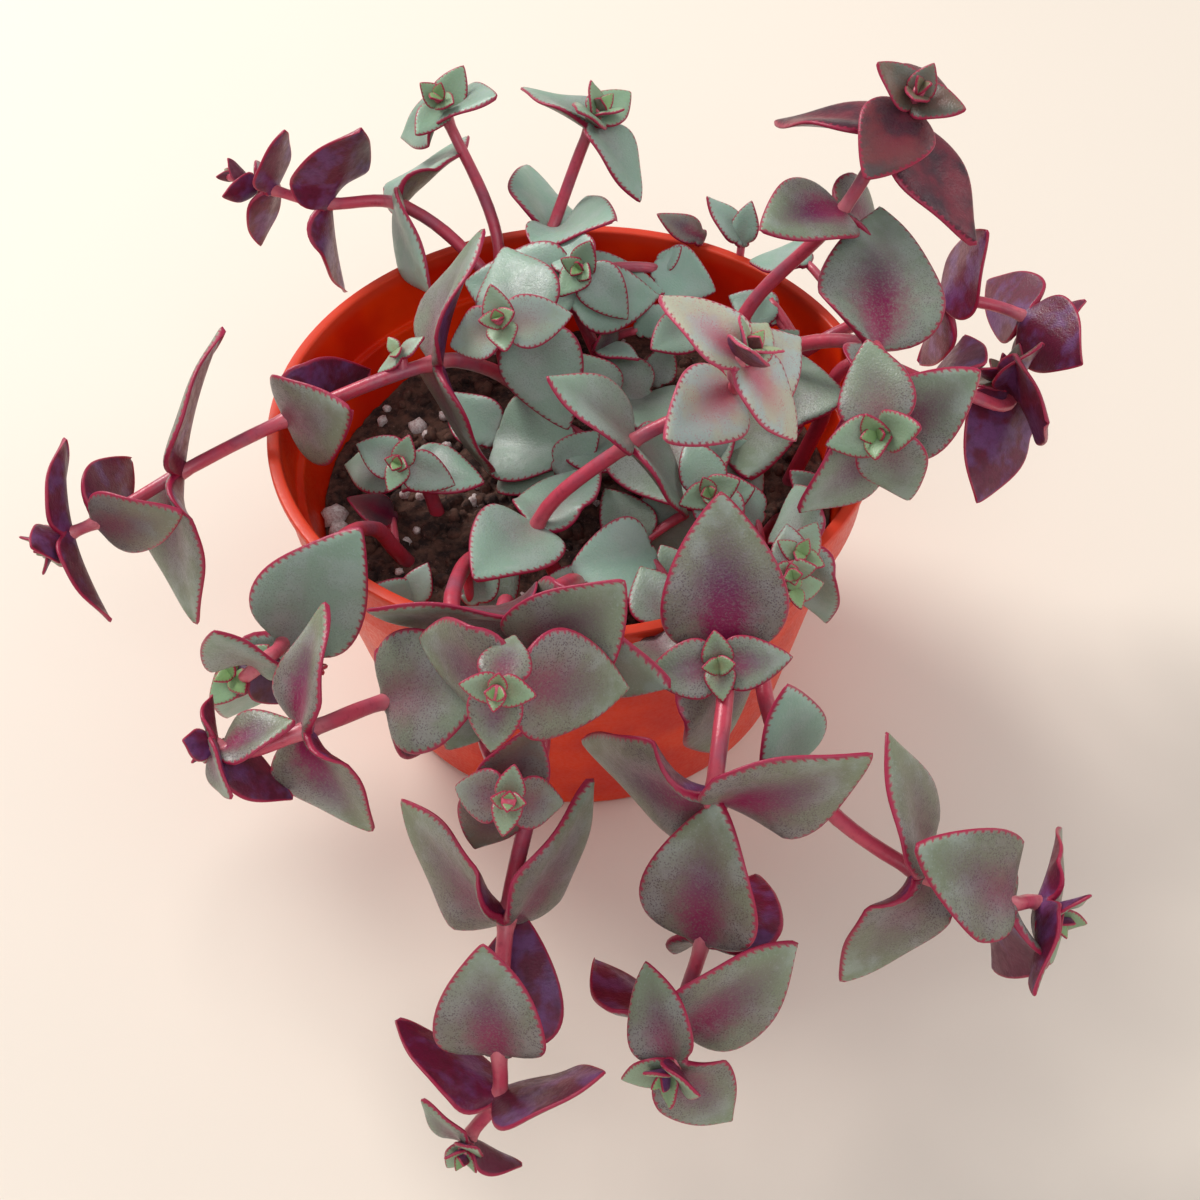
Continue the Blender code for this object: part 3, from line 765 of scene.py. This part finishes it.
def makeStem(name, route, heads, joints):
    # a tube along the route, thinner towards the tip, with a swollen ring at each pair of leaves
    places = smoothRoute(route, heads, stemSizes["steps"])
    line = np.array([tuple(q) for q in places])
    stemLines[name] = line
    shares = np.linspace(0, 1, len(places))
    radii = []
    for place, share in zip(places, shares):
        nearest = min((place - joint).length for joint in joints)
        swell = 1 + stemSizes["joint"] * math.exp(-(nearest / stemSizes["jointWidth"]) ** 2)
        plain = stemSizes["root"] + (stemSizes["tip"] - stemSizes["root"]) * share
        radii.append(plain * swell * (1 + 0.05 * noise.noise(place * 0.35)))
    stem = tube("red_stem_" + name, places, radii)
    skinPlaces = placesOf(stem) / mm
    away = np.linalg.norm(skinPlaces[:, None] - line[None], axis=2)
    paintPoints(stem, "rise", shares[away.argmin(1)])
    near = np.min([np.linalg.norm(skinPlaces - np.array(joint), axis=1) for joint in joints], axis=0)
    paintPoints(stem, "joint", np.exp(-((near - 1.2).clip(0) / 1.0) ** 2))
    return stem


def leafMaster(segments, rings):
    startFresh()
    bpy.ops.mesh.primitive_uv_sphere_add(segments=segments, ring_count=rings, radius=1)
    bpy.ops.object.shade_smooth()
    return bpy.context.object


def halfWidth(share):
    return leafSizes["halfWidth"] * np.sin(np.pi * np.clip(share, 0, 1) ** 0.59) ** 0.8


def shapeBlade(blade, length, opening, turned, look, luck, young=0.0, lean=0.0, fuller=1.0):
    # the ball is drawn out from the stem's axis to the leaf's tip, flattened, folded at its midrib and bent
    ball = placesOf(blade)
    around = np.hypot(ball[:, 0], ball[:, 1])
    safe = np.where(around < 1e-6, 1, around)
    side, lift = ball[:, 0] / safe * (around > 1e-6), ball[:, 1] / safe * (around > 1e-6)
    share = np.arccos(np.clip(ball[:, 2], -1, 1)) / math.pi
    share = share - 0.07 * np.sin(2 * np.pi * share)
    heel = -min(0.9, 0.12 * length)
    reach = heel + (length - heel) * share
    run = np.clip(reach / length, 0, 1)
    collar = min(leafSizes["collar"], 0.2 * length)
    broad = fuller * (1 + 0.07 * luck.uniform(-1, 1))
    grid = np.linspace(0, 1, 400)

    def widthAt(at):
        base = collar * np.clip(1 - at / 0.22, 0, 1) ** 0.5
        return np.maximum(length * halfWidth(at) * broad, base)

    width = widthAt(run) * np.where(reach < 0, np.sqrt(np.clip(1 - (reach / heel) ** 2, 0, 1)), 1)
    bend = leafSizes["bend"] + leafSizes["bendSpread"] * luck.uniform(-1, 1)
    angle = np.radians(opening + leafSizes["droop"] + bend * (grid - 0.5))
    stride = length / 400
    outX = np.concatenate([[0], np.cumsum(np.sin(angle) * stride)[:-1]])
    outZ = np.concatenate([[0], np.cumsum(np.cos(angle) * stride)[:-1]])
    here = np.interp(run, grid, angle)
    before = np.minimum(reach, 0)
    midX = np.interp(run, grid, outX) + before * np.sin(here)
    midZ = np.interp(run, grid, outZ) + before * np.cos(here)
    over = -side * width
    fold = leafSizes["fold"] * (1 + 0.35 * luck.uniform(-1, 1))
    cup = luck.uniform(-0.10, 0.10)
    ripple = luck.uniform(0, 6.28)
    spread = np.abs(over) / np.maximum(width, 1e-6)
    height = fold * (1 - 0.75 * run) * (np.sqrt(over**2 + 0.3) - 0.55)
    height += cup * over**2 / np.maximum(length * 0.38, 1e-6)
    height += 0.02 * length * np.sin(run * 9 + ripple + (over > 0) * 1.3) * spread**2 * (run > 0)
    height -= 0.018 * length * spread**5
    thick = leafSizes["thickness"] * (length / 18) ** 0.55 * (1 - run) ** 0.42 + 0.16
    thick = thick * np.where(reach < 0, np.sqrt(np.clip(1 - (reach / heel) ** 2, 0, 1)), 1)
    height += np.sign(lift) * np.abs(lift) ** 0.8 * thick / 2
    roll = np.radians(luck.uniform(-7, 7)) * run + math.radians(lean) * np.clip(reach / length / 0.25, 0, 1)
    across, raised = over * np.cos(roll) - height * np.sin(roll), over * np.sin(roll) + height * np.cos(roll)
    places = np.stack([midX - np.cos(here) * raised, across, midZ + np.sin(here) * raised], 1)
    if turned:
        places[:, :2] *= -1
    movePoints(blade, places * mm)
    rimLength = np.concatenate([[0], np.cumsum(np.hypot(np.diff(widthAt(grid)), stride))])
    tone, blush, wine, cream, under = look
    finer = (length / 18) ** 0.5
    paintPoints(blade, "across", side)
    paintPoints(blade, "along", run)
    paintPoints(blade, "rimGap", (width - np.abs(over)) / finer)
    paintPoints(blade, "rimRun", np.interp(run, grid, rimLength) / finer)
    paintPoints(blade, "upper", lift)
    for label, number in (("tone", tone), ("blush", blush), ("wine", wine), ("cream", cream), ("under", under),
                          ("youth", young)):
        paintPoints(blade, label, min(1, max(0, number + luck.uniform(-0.06, 0.06) * (number > 0))))


largeLeaf = leafMaster(leafSizes["segments"], leafSizes["rings"])
smallLeaf = leafMaster(16, 14)


def makePair(name, place, length, openings, look, luck, young=0.0, leans=(0, 0)):
    blades = []
    for opening, turned, lean in zip(openings, (False, True), leans):
        blade = copyOf(largeLeaf if length > 7.5 else smallLeaf)
        shapeBlade(blade, length, opening, turned, look, luck, young, lean)
        blade.matrix_world = place
        blades.append(blade)
    for blade in blades:
        settle(blade)
    pair = joinInto(blades, name)
    dress(pair, leafFinish)
    return pair


budSizes = [(0.6, 55, 0.3), (0.38, 38, 0.62), (0.24, 22, 0.88)]  # share of the last pair's leaf, opening, way to the tip
for shootName, (route, pairs) in shootRoutes.items():
    luck = random.Random(sum(map(ord, shootName)) + leafSizes["seed"])
    root, *rest = [Vector(point) for point in route]
    route = [root, root.lerp(rest[0], stemSizes["straightRoot"]), *rest]
    heads = headings(route)
    heading = (route[-1] - route[0]) * Vector((1, 1, 0))
    aside = Vector((-heading.y, heading.x, 0)).normalized()
    first = len(route) - 1 - len(pairs)
    stem = makeStem(shootName, route, heads, route[first:-1])
    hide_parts("stem_" + shootName)
    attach(stem, "root")
    for k, (length, turn, *openings) in enumerate(pairs):
        place = jointFrame(route[first + k], heads[first + k], turn, aside)
        pair = makePair(f"leaf_pair_{shootName}_{k + 1}", place, length, openings, shootLooks[shootName][k], luck,
                        leans=leafLeans.get(shootName, {}).get(k, (0, 0)))
        node = f"leaves_{shootName}_{k + 1}"
        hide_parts(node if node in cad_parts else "stem_" + shootName)
        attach(pair, "root")
    buds = []
    tone, blush, wine, cream, under = shootLooks[shootName][-1]
    for step, (share, opening, way) in enumerate(budSizes):
        spot = route[-2].lerp(route[-1], way)
        place = jointFrame(spot, heads[-1], turn + 90 * (step + 1), aside)
        look = (tone * 0.6, blush * 0.5, wine * 0.8, cream, under)
        buds.append(makePair("bud", place, max(2.2, length * share), (opening + luck.uniform(-8, 8),) * 2, look, luck,
                             young=(0.35, 0.6, 0.9)[step] * (1 - wine * 0.8)))
    tip = joinInto(buds, "growing_tip_" + shootName)
    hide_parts("stem_" + shootName)
    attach(tip, "root")

print("side leaves and side buds")

# small inner leaves on stalks of their own: foot and tip in millimetres, fullness, roll and look
sideLeaves = [
    ((13.5, 26.8, 58), (22.8, 24.7, 55), 1.15, 0, (0.1, 0, 0, 0, 0.1)),
    ((14.1, 27.3, 58), (17.6, 28.7, 61), 0.9, 0, (0.1, 0, 0, 0, 0.1)),
    ((0.3, 17.4, 60), (-16.3, 22.5, 60), 1.1, -10, (0.2, 0, 0, 0, 0.1)),
    ((0.3, 17.4, 60), (13.8, 20.3, 58), 1.1, 10, (0.2, 0, 0, 0, 0.1)),
    ((36.6, 24.9, 60), (28.4, 30.7, 56), 1.0, 25, (0.1, 0, 0, 0, 0.2)),
    ((31.2, 16.5, 56), (24.3, 21.0, 57), 1.0, 0, (0.15, 0, 0, 0, 0.1)),
    ((30.5, 18.4, 58), (27.5, 14.1, 55), 1.0, 0, (0.15, 0, 0, 0, 0.1)),
    ((27.8, 36.6, 56), (22.1, 40.3, 62), 0.8, 20, (0.2, 0.1, 0, 0, 0.8)),
    ((27.7, 36.0, 56), (29.3, 38.8, 62), 0.9, -20, (0.15, 0.1, 0, 0, 0.3)),
    ((21.2, 38.8, 55), (14.2, 41.6, 58), 0.8, 0, (0.5, 0.6, 0.5, 0, 1)),
    ((4.3, 15.1, 52), (6.2, 15.3, 58), 1.0, 60, (0.6, 0.6, 0.5, 0, 1)),
    ((4.3, 15.1, 52), (10.3, 10.1, 54), 0.8, -30, (0.3, 0, 0, 0, 0.2)),
    ((5.8, 5.7, 50), (0.0, 11.3, 55), 1.0, 0, (0.5, 0.1, 0, 0, 0.5)),
    ((-12.8, 5.3, 43), (-19.7, 12.3, 47), 1.1, 0, (0.1, 0, 0, 0, 0.1)),
    ((-11.5, 4.2, 44), (1.6, -2.3, 47), 1.35, 0, (0.35, 0, 0, 0, 0.1)),
    ((-10.9, 0.6, 41), (-2.4, -5.5, 44), 1.1, 0, (0.4, 0, 0, 0, 0.1)),
    ((10.2, -30.5, 53), (-1.2, -31.8, 53), 1.25, 0, (0.1, 0, 0, 0, 0.1)),
    ((8.9, -22.9, 48), (4.1, -15.3, 52), 1.0, 0, (0.5, 0.1, 0, 0, 0.4)),
    ((-27.3, -11.3, 43), (-33.6, -10.5, 47), 1.0, 30, (0.5, 1, 0.9, 0, 1)),
    ((-23.1, -30.1, 46), (-20.6, -26.7, 50), 1.0, 0, (0.1, 0, 0, 0, 0.1)),
    ((-23.1, -30.1, 46), (-27.6, -30.5, 50), 1.0, 0, (0.15, 0, 0, 0, 0.1)),
    ((12.5, -5.7, 52), (17.2, -22.7, 54), 1.3, 0, (0.6, 0.2, 0, 0, 0.4)),
    ((25.0, 0.3, 52), (24.4, -16.7, 54), 1.35, 0, (0.8, 0.1, 0, 0, 0.3)),
    ((19.0, -20.4, 54), (24.9, -21.4, 57), 1.2, 0, (0.3, 0.2, 0, 0, 0.5)),
    ((25.1, -22.6, 52), (20.6, -17.7, 56), 1.0, 0, (0.3, 0.2, 0, 0, 0.5)),
    ((31.1, -7.7, 56), (32.7, 6.4, 58), 1.2, 0, (0.5, 0.1, 0, 0, 0.4)),
    ((26.6, 4.1, 56), (33.9, 8.6, 60), 1.0, 0, (0.4, 0.1, 0, 0, 0.4)),
    ((11.8, -41.7, 53), (8.5, -33.4, 55), 1.1, 0, (0.5, 0.2, 0, 0, 0.5)),
    ((10.0, -43.9, 52), (13.7, -54.0, 54), 1.2, 0, (0.9, 0.3, 0, 0, 0.6)),
    ((-2.3, -5.0, 46), (3.8, -0.9, 50), 1.0, 0, (0.3, 0, 0, 0, 0.3)),
    ((9.5, -7.7, 48), (4.3, -7.8, 52), 1.1, 0, (0.5, 0, 0, 0, 0.3)),
    ((-14.6, -34.0, 50), (-11.0, -28.8, 53), 1.0, 0, (0.2, 0, 0, 0, 0.2)),
    ((18.0, 14.3, 56), (11.7, 7.5, 58), 1.0, 0, (0.4, 0.1, 0, 0, 0.4)),
    ((10.5, 17.2, 54), (16.1, 17.7, 58), 1.0, 0, (0.2, 0, 0, 0, 0.2)),
    ((34.4, -19.1, 52), (30.1, -17.0, 56), 1.0, 0, (0.4, 0.2, 0, 0, 0.5)),
    ((10.5, 9.4, 47), (4.6, 14.6, 52), 1.1, 0, (0.5, 0.2, 0, 0, 0.6)),
    ((12.7, 13.0, 47), (15.2, 16.5, 52), 1.1, 0, (0.4, 0.1, 0, 0, 0.6)),
    ((10.2, 10.1, 46), (13.0, -2.6, 50), 1.1, 0, (0.5, 0.1, 0, 0, 0.6)),
    ((2.3, 1.3, 46), (8.3, -9.7, 50), 1.1, 0, (0.3, 0.1, 0, 0, 0.3)),
    ((-14.8, -32.2, 48), (-7.9, -26.1, 50), 1.2, 0, (0.5, 0.1, 0, 0, 0.3)),
    ((1.0, -32.9, 50), (-3.8, -33.6, 54), 1.2, 0, (0.5, 0.2, 0, 0, 0.4)),
    ((16.3, -37.2, 52), (14.7, -32.6, 55), 1.1, 0, (0.5, 0.2, 0, 0, 0.4)),
    ((15.0, -33.5, 50), (11.5, -26.8, 52), 1.0, 0, (0.5, 0.2, 0, 0, 0.5)),
]
# side rosettes: place, growing direction, turn, leaf lengths from the outside in, look and freshness
sideBuds = [
    ((17.0, -57.7, 63.0), (-0.07, -0.63, 0.77), 5, (9.0, 4.8, 3.0), (0.8, 0.7, 0, 0, 1), 0.0),
    ((-24.2, 0.8, 64.0), (-0.5, -0.1, 0.85), 20, (4.4, 2.8), (0.3, 0.2, 0, 0.3, 0.8), 0.3),
    ((-42.1, -52.5, 58.0), (-0.3, -0.5, 0.8), 40, (5.5, 4.0, 2.6), (0.2, 0.1, 0, 0, 0.3), 0.6),
    ((28.3, -39.8, 62.0), (0.1, -0.4, 0.9), 60, (6.0, 3.8, 2.5), (0.3, 0.2, 0, 0.3, 0.4), 0.3),
    ((27.2, -44.0, 61.0), (0.2, -0.6, 0.75), 10, (4.5, 3.0), (0.3, 0.2, 0, 0.2, 0.4), 0.5),
]


def nearestStem(place):
    # the closest point of any stem, and that stem's shoot
    found = min((float(np.linalg.norm(line - np.array(place), axis=1).min()), name) for name, line in stemLines.items())
    line = stemLines[found[1]]
    return found[0], found[1], Vector(line[np.linalg.norm(line - np.array(place), axis=1).argmin()])


def makeStalk(place, thickness):
    # from the nearest stem, or from the soil where that is nearer, up to the leaf's foot
    away, name, start = nearestStem(place)
    if away > place.z - soilSizes["top"]:
        start = Vector((place.x * 0.95, place.y * 0.95, soilSizes["top"] - 1))
    middle = start.lerp(place, 0.5) + Vector((0, 0, 0.12 * (place - start).length))
    places = [start * (1 - t) ** 2 + middle * 2 * t * (1 - t) + place * t**2 for t in np.linspace(0, 1, 7)]
    return tube("stalk", places, [thickness * (1 - 0.2 * k / 6) for k in range(7)]), name


for k, (foot, tip, fuller, lean, look) in enumerate(sideLeaves):
    luck = random.Random(900 + k)
    foot, tip = Vector(foot), Vector(tip)
    stalk, carrier = makeStalk(foot, 0.8)
    paintPoints(stalk, "rise", 0.6)
    paintPoints(stalk, "joint", 0.2)
    along = (tip - foot).normalized()
    facing = Vector((0.05, -0.5, 0.85))
    facing = Matrix.Rotation(math.radians(lean), 3, along) @ (facing - along * facing.dot(along)).normalized()
    place = Matrix((along, facing.cross(along), facing)).transposed().to_4x4()
    place.translation = foot * mm
    blade = copyOf(largeLeaf)
    shapeBlade(blade, (tip - foot).length, 84, False, look, luck, fuller=fuller)
    blade.matrix_world = place
    settle(blade)
    dress(blade, leafFinish)
    piece = joinInto([stalk, blade], f"side_leaf_{k + 1:02d}")
    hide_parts("stem_" + carrier)
    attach(piece, "root")

for k, (foot, growing, turn, lengths, look, young) in enumerate(sideBuds):
    luck = random.Random(700 + k)
    foot, growing = Vector(foot), Vector(growing).normalized()
    stalk, carrier = makeStalk(foot, 0.9)
    paintPoints(stalk, "rise", 0.7)
    paintPoints(stalk, "joint", 0.3)
    rosette = []
    for step, length in enumerate(lengths):
        place = jointFrame(foot + growing * step * 1.1, growing, turn + 90 * step, Vector((1, 0, 0)))
        rosette.append(makePair("bud", place, length, (82 - 22 * step,) * 2, look, luck, min(1, young + 0.3 * step)))
    piece = joinInto([stalk, *rosette], f"side_bud_{k + 1}")
    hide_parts("stem_" + carrier)
    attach(piece, "root")
for master in (largeLeaf, smallLeaf):
    discard(master)
